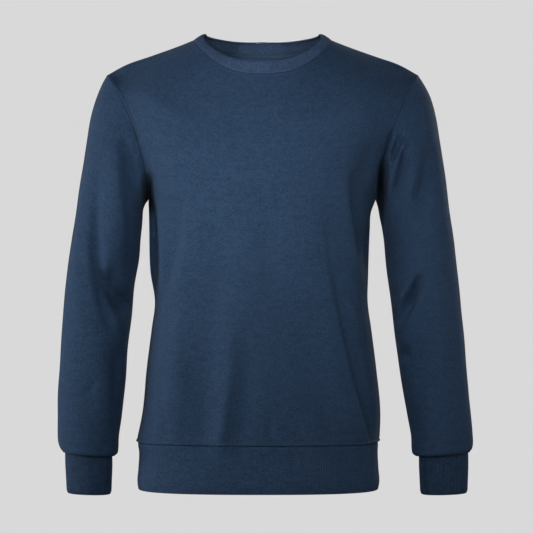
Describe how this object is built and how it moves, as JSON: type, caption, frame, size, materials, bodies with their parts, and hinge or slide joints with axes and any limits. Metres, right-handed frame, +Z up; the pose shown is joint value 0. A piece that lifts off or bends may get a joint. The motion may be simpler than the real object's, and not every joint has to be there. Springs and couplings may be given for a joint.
{
  "type": "crewneck sweatshirt",
  "caption": "Crewneck sweatshirt in its worn shape with nothing inside: long set-in sleeves, rib collar, rib cuffs and a deep rib hem band; open at the neck, hem and wrists.",
  "frame": {"origin": "midway between the two points where the shoulder seams meet the neck seam, which is where shoulders or a hanger hold the garment up", "axes": "+Z up along the body, the front faces -Y, +X is the wearer's left"},
  "size_m": [0.6407, 0.2425, 0.708],
  "materials": {
    "fleece": "navy sweatshirt fleece, matt, with a fine knit face",
    "rib_knit": "navy rib knit, folded double, matt",
    "tape": "navy twill tape, matt, slightly lighter than the fleece"
  },
  "bodies": {
    "root": {"front_body": "fleece", "back_body": "fleece", "sleeve_left": "fleece", "sleeve_right": "fleece", "collar_rib": "rib_knit", "hem_band": "rib_knit", "cuff_left": "rib_knit", "cuff_right": "rib_knit", "neck_tape": "tape"}
  },
  "joints": []
}
